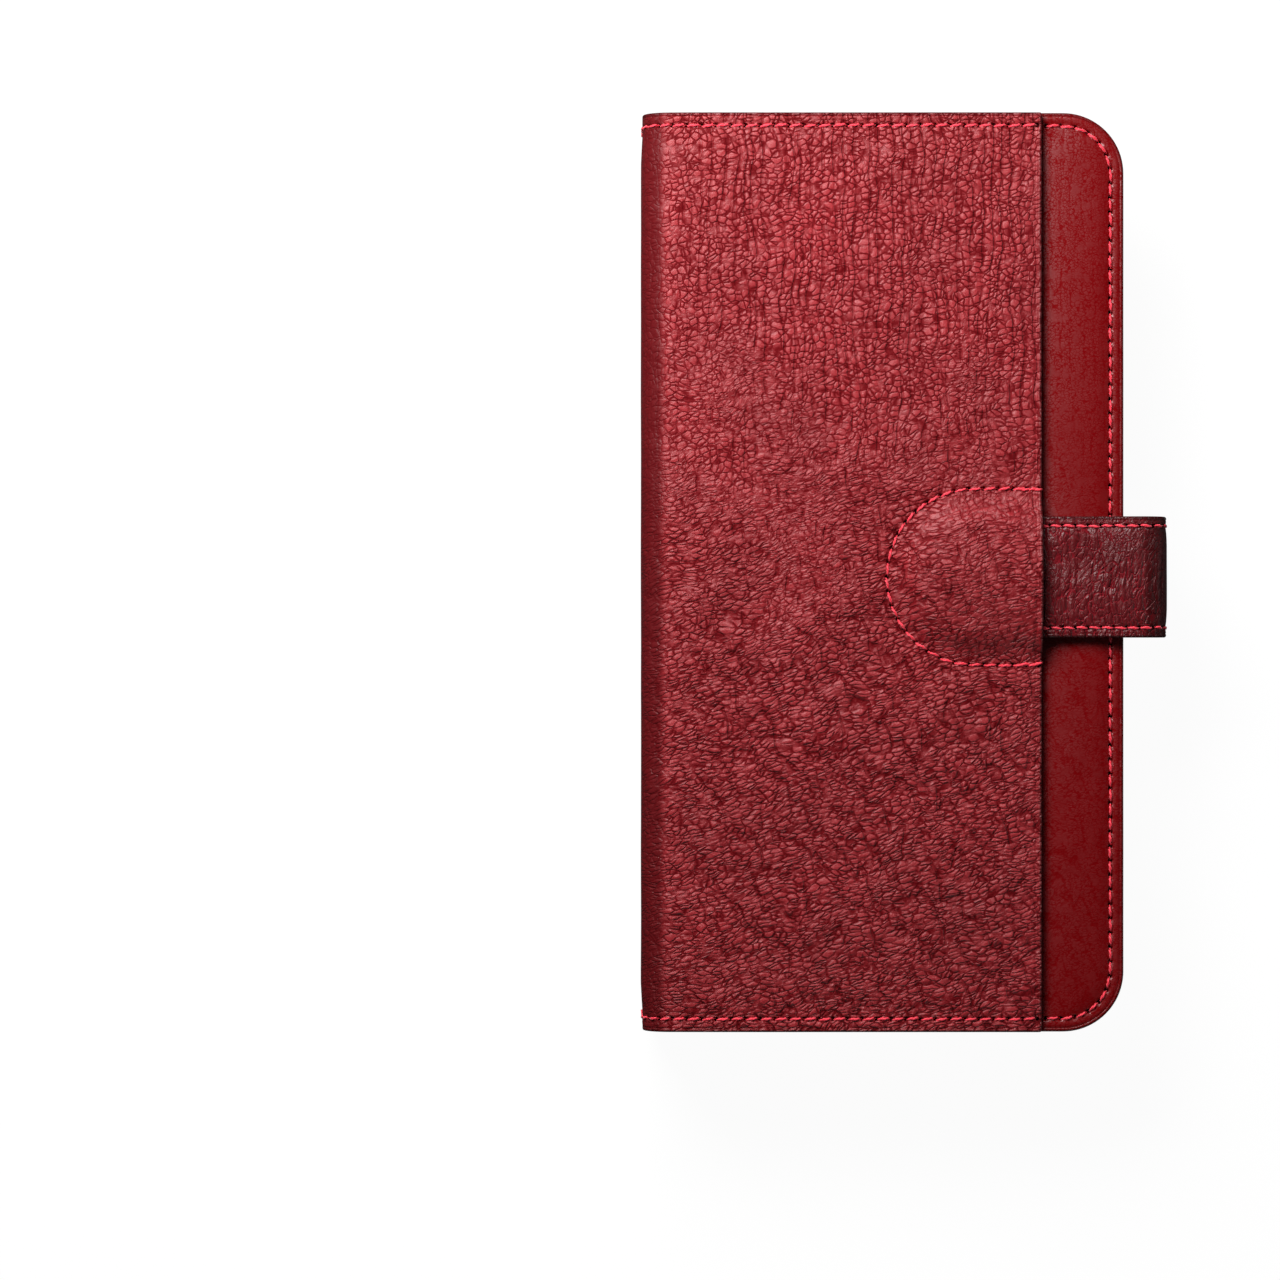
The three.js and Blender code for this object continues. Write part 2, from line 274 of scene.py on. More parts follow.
def mesh_object(name, points, faces, material, attributes=(), sharp=None):
    mesh = bpy.data.meshes.new(name)
    mesh.from_pydata((np.asarray(points) * MM).tolist(), [], [list(map(int, f)) for f in faces])
    for key, values in attributes:
        layer = mesh.attributes.new(key, "FLOAT_VECTOR", "POINT")
        layer.data.foreach_set("vector", np.asarray(values, np.float32).ravel())
    mesh.shade_smooth()
    if sharp:
        mesh.set_sharp_from_angle(angle=math.radians(sharp))
    mesh.materials.append(material)
    return placed(name, mesh)


def circle(centre, radius, sides=8):
    a = np.arange(sides) * 2 * math.pi / sides
    return np.stack([centre[0] + radius * np.cos(a), centre[1] + radius * np.sin(a)], axis=1)


def cut_from(start, turn=1):
    """Where a piece lies on the hide: `start` along it, so that no two pieces show the same grain."""
    return lambda s, t: (turn * s + start, t)


def beside(seam):
    """Distance from a stitch line that runs `seam` inside the outline."""
    return lambda s, t, inset: inset - seam


class Sheet:
    """A piece of leather: an outline wrapped on a track, with a face, an underside and rounded edges.
    Functions of (s, t), or of (s, t, distance inside the outline), give what varies over it:
    `thickness`, `rise` over the track, `channel` (distance from the seams' trough, `groove` deep),
    `hide` (place on the hide), `burnish` (how smooth, and how much painted shade darkens it) and `cut` (where
    there is none).
    Its mesh has points every `grid`, finer in each `dense` box, on the `rings` and `lines`,
    and none where a function in `keep_clear` says so."""

    def __init__(self, name, track, outline, thickness, rise, seams=(), lines=(), grid=2.5, dense=(),
                 hide=cut_from(0), edge=0.45, burnish=lambda s, t: np.zeros_like(s), cut=None,
                 rings=(*EDGE_RINGS, 1.3, *SEAM_RINGS), channel=None, groove=0.18, keep_clear=()):
        self.name, self.track, self.outline = name, track, outline
        self.thickness, self.rise, self.edge = thickness, rise, edge
        self.seams, self.holes = seams, np.vstack([np.zeros((0, 2)), *seams])
        self.lines, self.grid, self.dense, self.rings = lines, grid, dense, rings
        self.hide, self.burnish, self.cut = hide, burnish, cut
        self.channel, self.groove, self.keep_clear = channel, groove, keep_clear

    def pits(self, s, t):
        """1 in the middle of a stitch hole, 0 outside it."""
        found = np.zeros_like(s)
        for hs, ht in self.holes:
            near = (abs(s - hs) < HOLE * 2) & (abs(t - ht) < HOLE * 2)
            r = np.hypot(s[near] - hs, t[near] - ht)
            found[near] = np.maximum(found[near], 1 - smooth(r, HOLE * 0.5, HOLE * 1.05))
        return found

    def face(self, s, t):
        """The face's height over the track."""
        inset = self.outline.inset(s, t)
        height = -edge_round(inset, self.edge) - PRESSED_DEPTH * bell(inset - PRESSED_AT, PRESSED_WIDTH)
        if self.channel:
            height = height - self.groove * bell(self.channel(s, t, inset), CHANNEL_WIDTH)
        return height + self.rise(s, t, inset)

    def points(self):
        """The flat mesh's points and the edges that it has to keep."""
        o = self.outline
        verts, edges = [], []

        def add(line, closed):
            keep = line[:, 0] > (o.s0 + 0.3 if o.open_left else -math.inf)
            index = {}
            for i in np.flatnonzero(keep):
                index[i] = len(verts)
                verts.append(line[i])
            last = len(line) if closed else len(line) - 1
            for i in range(last):
                j = (i + 1) % len(line)
                if i in index and j in index:
                    edges.append((index[i], index[j]))

        for inset in self.rings:
            add(o.ring(inset), True)
        if o.open_left:
            cut = [(o.s0, sign * (o.t1 - r)) for r in self.rings for sign in (-1, 1)]
            cut += [(o.s0, t) for t in np.arange(o.t0 + 6, o.t1 - 5.9, 2.0)]
            verts.extend(np.array(sorted(cut, key=lambda p: p[1])))
        for line in self.lines:
            add(line, False)
        for hole in self.holes:
            for radius in (HOLE * 1.05, HOLE * 0.75, HOLE * 0.4):
                add(circle(hole, radius), True)
            verts.append(hole)
        grids = [(o.s0, o.s1, o.t0, o.t1, self.grid, self.grid), *self.dense]
        for number, (a, b, c, d, ds, dt) in enumerate(grids):
            s, t = np.meshgrid(np.arange(a + ds / 2, b, ds), np.arange(c + dt / 2, d, dt))
            s, t = s.ravel(), t.ravel()
            good = (o.inset(s, t) > self.rings[-1] + 0.4) & (s > o.s0 + 0.4)
            for a2, b2, c2, d2, _, _ in grids[number + 1:]:
                good &= ~((s > a2) & (s < b2) & (t > c2) & (t < d2))
            for clear in self.keep_clear:
                good &= ~clear(s, t)
            verts.extend(np.stack([s[good], t[good]], axis=1))
        return verts, edges

    def build(self, material):
        verts, edges = self.points()
        flat, _, faces, *_ = delaunay_2d_cdt([Vector(v) for v in verts], edges, [], 0, 1e-4)
        flat = np.array([tuple(v) for v in flat])
        faces = np.array([f for f in faces if len(f) == 3])
        if self.cut is not None:
            centre = flat[faces].mean(axis=1)
            faces = faces[~self.cut(centre[:, 0], centre[:, 1])]
        used = np.unique(faces)
        remap = -np.ones(len(flat), int)
        remap[used] = np.arange(len(used))
        flat, faces = flat[used], remap[faces]
        s, t = flat[:, 0], flat[:, 1]
        inset, pits = self.outline.inset(s, t), self.pits(s, t)
        top = self.face(s, t)
        thick = self.thickness(s, t, inset) if callable(self.thickness) else np.full_like(s, self.thickness)
        low = np.minimum(top + edge_round(inset, self.edge) - thick, top - 0.05)
        low = low + edge_round(inset, min(self.edge, 0.3))
        count = len(flat)
        upper = self.track.place(s, t, top - PIT_DEPTH * pits)
        lower = self.track.place(s, t, low)
        a, b, c = upper[faces[0]]
        normal = np.cross(b - a, c - a)
        outward = self.track.place(s[faces[0]], t[faces[0]], top[faces[0]] + 1)[0] - a
        if normal @ outward < 0:
            faces = faces[:, ::-1]
        directed = {(int(f[i]), int(f[(i + 1) % 3])) for f in faces for i in range(3)}
        walls = [(a, a + count, b + count, b) for a, b in directed if (b, a) not in directed]
        everything = [*faces.tolist(), *(faces[:, ::-1] + count).tolist(), *walls]
        u, v = self.hide(s, t)
        place = np.stack([u, v, np.zeros_like(u)], axis=1)
        beneath = place + (0, 0, 40)  # other grain on the underside
        worn = 1 - smooth(inset, 0.1, 0.9)
        marks = np.stack([pits, worn, self.burnish(s, t)], axis=1)
        lower_marks = np.stack([0 * pits, worn, 0 * pits], axis=1)
        attributes = [("hide", np.vstack([place, beneath])), ("marks", np.vstack([marks, lower_marks]))]
        return mesh_object(self.name, np.vstack([upper, lower]), everything, material, attributes, sharp=60)


def stand_in(made, slot, *nodes, body=None):
    """Put a piece in the place of CAD nodes."""
    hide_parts(*nodes)
    if body:
        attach(made, body)
    return made


# ---- stitching

def stitches(name, sheet, again=(), sides=8, steps=12):
    """Twisted thread in and out of the holes of a sheet's seams, and of seams that are sewn `again`."""
    points, faces, twist = [], [], []
    u = np.linspace(0, 1, steps + 1)
    phi = np.arange(sides) * 2 * math.pi / sides
    for holes in [*sheet.seams, *again]:
        for a, b in zip(holes[:-1], holes[1:]):
            along = b - a
            length = np.hypot(*along)
            if length < 0.8:
                continue
            across = np.array([-along[1], along[0]]) / length
            slant, wander = RANDOM.normal(0.17, 0.05), RANDOM.normal(0, 0.04)
            thick = RANDOM.normal(1, 0.05)
            line = a + np.outer(0.03 + 0.94 * u, along) + np.outer((u - 0.5) * 2 * slant + wander, across)
            s, t = line[:, 0], line[:, 1]
            lift = -0.9 + 1.08 * (1 - abs(2 * u - 1) ** 2.3)
            height = sheet.face(s, t) + lift
            path = sheet.track.place(s, t, height)
            up = sheet.track.place(s, t, height + 1) - path
            ahead = np.gradient(path, axis=0)
            ahead /= np.linalg.norm(ahead, axis=1)[:, None]
            side = np.cross(ahead, up)
            side /= np.linalg.norm(side, axis=1)[:, None]
            up = np.cross(side, ahead)
            turns = phi[None, :] + 0 * u[:, None]
            ply = 1 + 0.2 * np.cos(2 * (turns - u[:, None] * length * PLY_TWIST))
            radius = THREAD * thick * ply * (1 - 0.25 * abs(2 * u - 1)[:, None] ** 4)
            out = np.cos(turns)[..., None] * side[:, None] + np.sin(turns)[..., None] * up[:, None]
            base = len(points)
            points.extend((path[:, None] + radius[..., None] * out).reshape(-1, 3))
            twist.extend(np.stack([np.repeat(u * length, sides), turns.ravel(), ply.ravel()], axis=1))
            for i in range(steps):
                for j in range(sides):
                    k = (j + 1) % sides
                    p, q = base + i * sides, base + (i + 1) * sides
                    faces.append((p + j, p + k, q + k, q + j))
            faces.append(tuple(base + j for j in reversed(range(sides))))
            faces.append(tuple(base + steps * sides + j for j in range(sides)))
    return mesh_object(name, np.array(points), faces, THREAD_RED, [("twist", twist)])


# ---- materials

class Graph:
    """A material's node tree, with each node made in one call."""

    def __init__(self, name):
        self.material = bpy.data.materials.new(name)
        self.material.use_nodes = True
        self.tree = self.material.node_tree
        self.tree.nodes.clear()

    def node(self, kind, inputs=(), **settings):
        made = self.tree.nodes.new("ShaderNode" + kind)
        for key, value in settings.items():
            setattr(made, key, value)
        for key, value in dict(inputs).items():
            if isinstance(value, bpy.types.NodeSocket):
                self.tree.links.new(value, made.inputs[key])
            else:
                made.inputs[key].default_value = value
        return made

    def math(self, operation, a, b=0.0, clamp=False):
        return self.node("Math", {0: a, 1: b}, operation=operation, use_clamp=clamp).outputs[0]

    def times(self, a, b):
        return self.math("MULTIPLY", a, b)

    def plus(self, a, b, clamp=False):
        return self.math("ADD", a, b, clamp)

    def minus(self, a, b):
        return self.math("SUBTRACT", a, b)

    def vector(self, operation, a, b=(0, 0, 0)):
        return self.node("VectorMath", {0: a, 1: b}, operation=operation).outputs[0]

    def remap(self, value, low, high, to_low=0.0, to_high=1.0):
        limits = {"From Min": low, "From Max": high, "To Min": to_low, "To Max": to_high}
        made = self.node("MapRange", {"Value": value, **limits}, interpolation_type="SMOOTHSTEP")
        return made.outputs["Result"]

    def mix(self, factor, a, b, blend="MIX"):
        made = self.node("Mix", {"Factor": factor}, data_type="RGBA", blend_type=blend)
        for socket, value in ((made.inputs[6], a), (made.inputs[7], b)):
            if isinstance(value, bpy.types.NodeSocket):
                self.tree.links.new(value, socket)
            else:
                socket.default_value = (*value, 1)
        return made.outputs[2]

    def noise(self, vector, scale, detail=2.0, roughness=0.5, output="Fac"):
        inputs = {"Vector": vector, "Scale": scale, "Detail": detail, "Roughness": roughness}
        return self.node("TexNoise", inputs).outputs[output]

    def cells(self, vector, scale, feature, **inputs):
        made = self.node("TexVoronoi", {"Vector": vector, "Scale": scale, **inputs}, feature=feature)
        return made.outputs["Distance"]

    def attribute(self, name):
        return self.node("Attribute", attribute_name=name).outputs["Vector"]

    def split(self, vector):
        return self.node("SeparateXYZ", {0: vector}).outputs

    def surface(self, colour, roughness, height, distance, **more):
        """A surface with `height` as its bump, `distance` millimetres for each 1 of it."""
        bump = self.node("Bump", {"Height": height, "Distance": distance * MM, "Strength": 1.0})
        inputs = {"Base Color": colour, "Roughness": roughness, "Normal": bump.outputs[0]}
        inputs.update((key.replace("_", " "), value) for key, value in more.items())
        return self.node("BsdfPrincipled", inputs).outputs[0]

    def finish(self, surface):
        self.node("OutputMaterial", {"Surface": surface})
        return self.material


EVEN = 0.8  # 1 for pebbles of very mixed sizes, 0 for a plain lattice
# painted shade: the black in each stitch hole
HOLE_SHADE_BLACK = (0.004, 0.002, 0.002)
CREASE_SHADE_TINT = (0.08, 0.06, 0.06)  # how little a crease shines: painted shade that dims the reflections in creases, stitch holes and over folds


def leather(name, colour, deep, shade=None, cell=1.35, depth=0.17, pads=1.0, wrinkle=1.0, rough=0.34,
            specular=0.36, fine=0.1, variation=0.35, along=0.0, crease=0.19):
    """Grained leather. `cell` is the size of its pebbles and `depth` the height of its grain, in millimetres.
    `deep` is the colour in its creases: painted shade where it is darker than `colour`, and painted highlight
    on the creases' lit edges where it is lighter, as on the strap. `shade` is that of its darker patches,
    which `variation` strengthens, and of the painted shade over folds.
    `pads`, `wrinkle` and `fine` weigh its pebbles, wrinkles and pores. `along` turns it, in degrees."""
    shade = shade or deep
    g = Graph(name)
    hide = g.attribute("hide")
    pit, worn, burnish = g.split(g.attribute("marks"))

    def shifted(vector, scale, reach, detail):
        wander = g.vector("SUBTRACT", g.noise(hide, scale, detail, 0.35, "Color"), (0.5, 0.5, 0.5))
        return g.vector("ADD", vector, g.vector("MULTIPLY", wander, (reach, reach, 0)))

    flow = shifted(hide, 0.1, 4.0, 2.0)
    warped = shifted(flow, 0.8, 0.55, 1.0)
    across, up, _ = g.split(hide)
    ragged = g.times(g.minus(g.noise(hide, 0.035), 0.5), 130.0)
    steep = g.remap(g.plus(up, ragged), -10.0, 45.0)
    flat = g.minus(1.0, steep)

    def either(high, low):
        """One pattern toward the top edge and another toward the bottom edge."""
        return g.plus(g.times(high, steep), g.times(low, flat))

    def pebbles(lean, squeeze):
        """Round-topped pebbles and the creases between them, drawn out along a leaning line."""
        turn = (0, 0, math.radians(along + lean))
        turned = g.node("Mapping", {"Vector": warped, "Rotation": turn}).outputs[0]
        laid = g.vector("MULTIPLY", turned, (1 / squeeze, squeeze, 1))
        middles = g.cells(laid, 1 / cell, "SMOOTH_F1", Smoothness=0.35, Randomness=EVEN)
        edges = g.cells(laid, 1 / cell, "DISTANCE_TO_EDGE", Randomness=EVEN)
        return g.remap(middles, 0.05, 0.7, 1.0, 0.0), g.remap(edges, -0.2 * crease, crease)

    (high_dome, high_gap), (low_dome, low_gap) = pebbles(-10, 1.15), pebbles(-16, 1.6)
    dome = either(high_dome, low_dome)
    faint = g.remap(g.noise(hide, 0.35, 3.0), 0.3, 0.56, 0.75, 0.1)
    gap = g.math("MAXIMUM", either(high_gap, low_gap), faint)
    small = g.remap(g.cells(warped, 2.3 / cell, "DISTANCE_TO_EDGE"), 0.0, 0.35)

    def rolls(angle, spacing, stretch, seed):
        """Long wrinkles, `spacing` apart, that wander and run together: 0 in a crease, 1 on a roll."""
        placed = {
            "Rotation": (0, 0, math.radians(angle + along)), "Location": (seed, seed, 0),
            "Scale": (1 / spacing, 1 / (spacing * stretch), 1),
        }
        turned = g.node("Mapping", {"Vector": flow, **placed}).outputs[0]
        wander = {"Distortion": 7.0, "Detail": 2.0, "Detail Scale": 1.4}
        return g.node("TexWave", {"Vector": turned, "Scale": math.pi / 10, **wander}).outputs["Fac"]

    waves = either(rolls(3.0, 2.3, 14.0, 3.7), rolls(104.0, 1.9, 4.5, 9.1))
    far = g.remap(g.math("ABSOLUTE", across), 14.0, 34.0, 0.35, 1.0)
    swells = g.times(g.minus(waves, 0.5), far)
    thin = g.times(far, g.remap(g.noise(hide, 0.09), 0.36, 0.54, 0.4, 1.0))
    creased = g.minus(1.0, g.remap(waves, 0.0, 0.2))
    lines = g.minus(1.0, g.times(creased, thin))
    pores = g.noise(hide, 4.5, 3.0, 0.6)
    billow = g.noise(hide, 0.12)

    relief = g.times(dome, 0.22 * pads)
    parts = [
        (gap, 0.6 * pads), (small, 0.08 * pads), (swells, 0.35 * wrinkle), (lines, 0.7 * wrinkle),
        (pores, fine), (billow, 4.0),
    ]
    for part, weight in parts:
        relief = g.plus(relief, g.times(part, weight))
    calm = g.minus(1.0, g.times(burnish, 0.6))
    relief = g.times(relief, g.times(calm, either(1.0, 1.6)))

    # Painted shade in the pebbles' creases and in the wrinkles' troughs: the colour goes toward `deep` there.
    # On the strap `deep` is lighter, a painted highlight on the creases' edges.
    top = g.times(gap, g.plus(g.times(lines, 0.45), 0.55))
    open_grain = g.plus(g.times(top, calm), g.minus(1.0, calm))
    tone = g.mix(open_grain, deep, colour)
    patch = g.noise(hide, 0.05, 4.0, 0.6)
    tone = g.mix(g.remap(patch, 0.3, 0.7, 0.0, variation), tone, shade)
    # Painted shade where the leather is smoothed: strong over the covers' fold and the strap's bend, faint on
    # the sleeve and along the panel's free edge. The colour goes toward `shade` there.
    grained = g.times(g.minus(gap, 0.5), 0.12)
    smooth_band_painted_shade = g.remap(g.plus(burnish, grained), 0.16, 0.74)
    tone = g.mix(g.times(smooth_band_painted_shade, 0.85), tone, shade)
    tone = g.mix(g.times(worn, 0.7), tone, tuple(0.35 * c for c in shade))
    # Painted shade in the stitch holes: they are coloured black.
    tone = g.mix(pit, tone, HOLE_SHADE_BLACK)

    gloss = g.plus(g.times(g.minus(patch, 0.5), 0.12), rough)
    gloss = g.plus(gloss, g.times(pit, 0.5), clamp=True)
    # Painted shade on the reflections: they are dimmed in creases, in stitch holes and over the smoothed
    # folds.
    clear = g.remap(g.times(open_grain, g.minus(1.0, pit)), 0.15, 0.9)
    clear = g.times(clear, g.minus(1.0, g.times(smooth_band_painted_shade, 0.6)))
    tint = g.mix(clear, CREASE_SHADE_TINT, (1, 1, 1))
    return g.finish(g.surface(tone, gloss, relief, depth, Specular_IOR_Level=specular, Specular_Tint=tint))


def thread_material(name, colour, deep):
    """Twisted polyester thread: plies with fine fibres along them."""
    g = Graph(name)
    run, turn, ply = g.split(g.attribute("twist"))
    slope = g.plus(g.times(run, PLY_TWIST), turn)
    fibre = g.node("CombineXYZ", {0: g.times(slope, 2.2), 1: g.times(run, 0.5)})
    strands = g.noise(fibre.outputs[0], 3.0, 3.0)
    # Painted shade in the grooves between the plies, with streaks along the fibres: the colour goes toward
    # `deep` there.
    shade = g.times(g.remap(ply, 0.8, 1.15), g.remap(strands, 0.3, 0.6, 0.6, 1.0))
    tone = g.mix(shade, deep, colour)
    return g.finish(g.surface(tone, 0.5, strands, 0.05, Sheen_Weight=0.25, Specular_IOR_Level=0.4))


def board_material(name):
    """Grey-brown board with flecks and fibres."""
    g = Graph(name)
    place = g.node("TexCoord").outputs["Object"]
    flecks = g.noise(place, 900.0, 4.0, 0.7)
    clouds = g.noise(place, 60.0, 3.0)
    tone = g.mix(g.remap(flecks, 0.35, 0.7), (0.17, 0.125, 0.085), (0.36, 0.29, 0.21))
    tone = g.mix(g.remap(clouds, 0.3, 0.7, 0.0, 0.35), tone, (0.22, 0.18, 0.14))
    return g.finish(g.surface(tone, g.remap(clouds, 0.3, 0.7, 0.75, 0.92), flecks, 0.1))


def floor_material(name):
    """A pale floor that looks white and throws little light back at the case. It is clear from underneath."""
    g = Graph(name)
    speck = g.noise(g.node("TexCoord").outputs["Object"], 40.0, 3.0)
    tone = g.mix(speck, (0.05, 0.05, 0.05), (0.06, 0.06, 0.06))
    rays = g.node("LightPath").outputs
    glow = g.times(rays["Is Camera Ray"], 0.96)
    pale = g.surface(tone, 0.9, speck, 0.02, Specular_IOR_Level=0.1, Emission_Color=(1, 1, 1, 1),
                     Emission_Strength=glow)
    unseen = g.math("MAXIMUM", g.node("NewGeometry").outputs["Backfacing"], rays["Is Shadow Ray"])
    clear = g.node("BsdfTransparent").outputs[0]
    return g.finish(g.node("MixShader", {0: unseen, 1: pale, 2: clear}).outputs[0])


GRAIN = leather(
    "grain_leather", (0.33, 0.014, 0.02), (0.085, 0.0015, 0.003), shade=(0.075, 0.0012, 0.0025),
    depth=0.24, rough=0.5, specular=0.5, fine=0.2, variation=0.2,
)
SMOOTH = leather(
    "smooth_leather", (0.17, 0.0012, 0.0025), (0.15, 0.001, 0.002), cell=0.6, depth=0.035, pads=0.4,
    wrinkle=0.3, rough=0.38, specular=0.55, variation=0.1, fine=0.3,
)
# Its `deep` is lighter than its colour: painted highlight on the lit edges of its creases.
STRAP = leather(
    "strap_leather", (0.105, 0.002, 0.0045), (0.22, 0.01, 0.017), shade=(0.045, 0.001, 0.002), cell=1.4,
    depth=0.24, rough=0.42, specular=0.45, along=90, crease=0.1,
)
INNER = leather("lining_leather", (0.22, 0.008, 0.013), (0.1, 0.003, 0.005), cell=0.7, depth=0.08, rough=0.5)
THREAD_RED = thread_material("thread", (1.0, 0.045, 0.085), (0.75, 0.015, 0.035))
BOARD = board_material("board")
FLOOR = floor_material("floor")


# ---- outer leather

FOLD_RUN = MID_Z - FOLD  # straight run from mid-spine to the fold
ARC_END = FOLD_RUN + quarter(FOLD)  # where the fold's arc ends
back_track = Track(SPINE, MID_Z, -90, -1, (FOLD_RUN, 0), (quarter(FOLD), 90), (EDGE - SPINE - FOLD, 0))
front_track = Track(SPINE, MID_Z, 90, 1, (FOLD_RUN, 0), (quarter(FOLD), -90), (PANEL_EDGE - SPINE - FOLD, 0))
TO_S = ARC_END - (SPINE + FOLD)  # x on a cover to s on its track


def fold_burnish_and_shade(s):
    """The leather over a fold is stretched smoother, and painted shade darkens it there."""
    return 0.8 * smooth(s, FOLD_RUN - 2.5, FOLD_RUN + 1.5) * (1 - smooth(s, ARC_END - 3.5, ARC_END + 1.0))


def seam_path(outline, inset, s_from):
    """The stitch line round an outline, from its left side's low end to its high end."""
    ring = outline.ring(inset, 0.5)
    first = np.argmin(np.hypot(ring[:, 0] - outline.left, ring[:, 1] - outline.t0))
    ring = np.roll(ring, -first, axis=0)
    return ring[(ring[:, 0] > outline.left + inset + 0.01) & (ring[:, 0] >= s_from)]


back_outline = Outline(0, back_track.length, -HALF, HALF, (CORNER, CORNER, 0.6, 0.6), open_left=True)
back_seam = even_steps(seam_path(back_outline, SEAM, 0.0), STITCH)


def shoulder(s):
    """The covers fall away a little toward the fold."""
    return -0.5 * (1 - smooth(s, FOLD_RUN, ARC_END + 9))


def turned_in(inset):
    """1 where the leather is turned in round the edge, so that it closes over the board."""
    return 1 - smooth(inset, 2.2, 2.7)


def cover_thickness(rim):
    return lambda s, t, inset: LEATHER + (rim - LEATHER) * turned_in(inset)


def swell(inset):
    """The leather stands a little higher inside its stitch line."""
    return 0.3 * smooth(inset, SEAM + 0.3, SEAM + 7)


def unevenness(s, t):
    """The same on both outer skins where they meet in the middle of the spine."""
    return 0.05 * ripple(s, t, 30, 5)


def back_rise(s, t, inset):
    return swell(inset) + shoulder(s) + unevenness(-s, t)


fold_grid = (FOLD_RUN - 3, ARC_END + 3, -HALF, HALF, 0.7, 2.5)
BACK_RIM = back_lining_low[2] - CLOSE  # the turned-in rims reach almost to the linings
STRIP_RIM = BASE_TOP - front_lining_high[2] - CLOSE
back_sheet = Sheet(
    "back_leather_skin", back_track, back_outline, cover_thickness(BACK_RIM), back_rise, seams=[back_seam],
    channel=beside(SEAM), dense=[fold_grid], hide=cut_from(0, -1), burnish=lambda s, t: fold_burnish_and_shade(s),
)
back_skin = stand_in(back_sheet.build(GRAIN), "grain_leather", "back_leather")

SLEEVE_S = PANEL_EDGE - SLEEVE_STRAIGHT + TO_S


def sleeve_inset(s, t):
    """Distance inside the sleeve's stitch line."""
    reach = np.where(s > SLEEVE_S, abs(t - STRAP_Y), np.hypot(s - SLEEVE_S, t - STRAP_Y))
    return SLEEVE_HALF - reach


def sleeve_line(inset, spacing=0.9):
    """The sleeve's stitch line, `inset` inside it, from its low end at the panel's edge to its high end."""
    r = SLEEVE_HALF - inset
    end = front_track.length
    turn = np.linspace(-math.pi / 2, -3 * math.pi / 2, 60)
    arc = np.stack([SLEEVE_S + r * np.cos(turn), STRAP_Y + r * np.sin(turn)], axis=1)
    line = np.vstack([[(end, STRAP_Y - r)], arc, [(end, STRAP_Y + r)]])
    return resample(line, spacing)


def front_rise(s, t, inset):
    """The puffed sleeve inside its sunk stitch line, and a lip along the panel's free edge."""
    bulge = sleeve_inset(s, t)
    puffed = SLEEVE_RISE * smooth(bulge, 0.2, 7.5) + 1.5 * smooth(bulge, 2, 17)
    groove = -0.2 * bell(bulge, CHANNEL_WIDTH)
    from_edge = front_track.length - s
    lip = 0.1 * bell(from_edge - 0.3, 0.5) - 0.16 * bell(from_edge - 1.25, 0.22)
    return puffed + groove + swell(HALF - abs(t)) + lip + shoulder(s) + unevenness(s, t)


def front_thickness(s, t, inset):
    """Thick at the turned-in edges and along the free edge, thin where the sleeve is lifted off the base."""
    lifted = smooth(sleeve_inset(s, t), 0.5, 4.5)
    on_spine = 1 - smooth(s, FOLD_RUN, ARC_END)
    rim = on_spine * BACK_RIM + (1 - on_spine) * (THICK - BASE_TOP - CLOSE / 2)
    free = 1 - smooth(front_track.length - s, 5.0, 7.0)
    edge = np.maximum(turned_in(inset), free * (1 - lifted))
    return LEATHER + (rim - LEATHER) * edge * (1 - lifted)


def front_burnish(s, t):
    """Smooth over the fold, with painted shade there, smoother on the sleeve and along the panel's free edge,
    with a little painted shade.
    """
    sleeve = 0.2 * smooth(sleeve_inset(s, t), 1.0, 3.5)
    free = 0.2 * smooth(s, front_track.length - 4.5, front_track.length - 1.5)
    return np.maximum(fold_burnish_and_shade(s), np.maximum(sleeve, free))


front_outline = Outline(0, front_track.length, -HALF, HALF, (0.5, 0.5, 0.6, 0.6), open_left=True)
panel_end = front_track.length - 0.9
low_seam, high_seam = (
    even_steps(np.array([(0.0, t), (panel_end, t)]), STITCH) for t in (SEAM - HALF, HALF - SEAM)
)
sleeve_seam = even_steps(sleeve_line(0.0), STITCH)
sleeve_seam[[0, -1], 0] -= 0.7  # the end holes stay off the panel's edge
sleeve_reach = SLEEVE_HALF + 2
sleeve_grid = (
    SLEEVE_S - sleeve_reach, front_track.length, STRAP_Y - sleeve_reach, STRAP_Y + sleeve_reach, 0.9, 0.9,
)
front_sheet = Sheet(
    "front_leather_skin", front_track, front_outline, front_thickness, front_rise, edge=0.4,
    seams=[low_seam, high_seam, sleeve_seam], channel=lambda s, t, inset: HALF - abs(t) - SEAM,
    dense=[fold_grid, sleeve_grid], rings=(*EDGE_RINGS, 1.2, 1.4, *SEAM_RINGS), burnish=front_burnish,
    lines=[sleeve_line(inset)[:-1] for inset in (-1.6, -1.0, -0.6, 0.6, 1.0, 1.6, 2.4)],
    keep_clear=[lambda s, t: abs(sleeve_inset(s, t) - 0.4) < 2.6],
)
front_skin = stand_in(front_sheet.build(GRAIN), "grain_leather", "front_panel", "spine_leather")


# ---- smooth strip under the panel

strip_track = Track(SPINE + FOLD, BASE_TOP, 0, 1, (EDGE - SPINE - FOLD, 0))
strip_outline = Outline(0, strip_track.length, -HALF, HALF, (CORNER, CORNER, 0.6, 0.6))
strip_from = PANEL_EDGE - SPINE - FOLD
strip_seam = even_steps(seam_path(strip_outline, SEAM, strip_from + 0.9), STITCH)


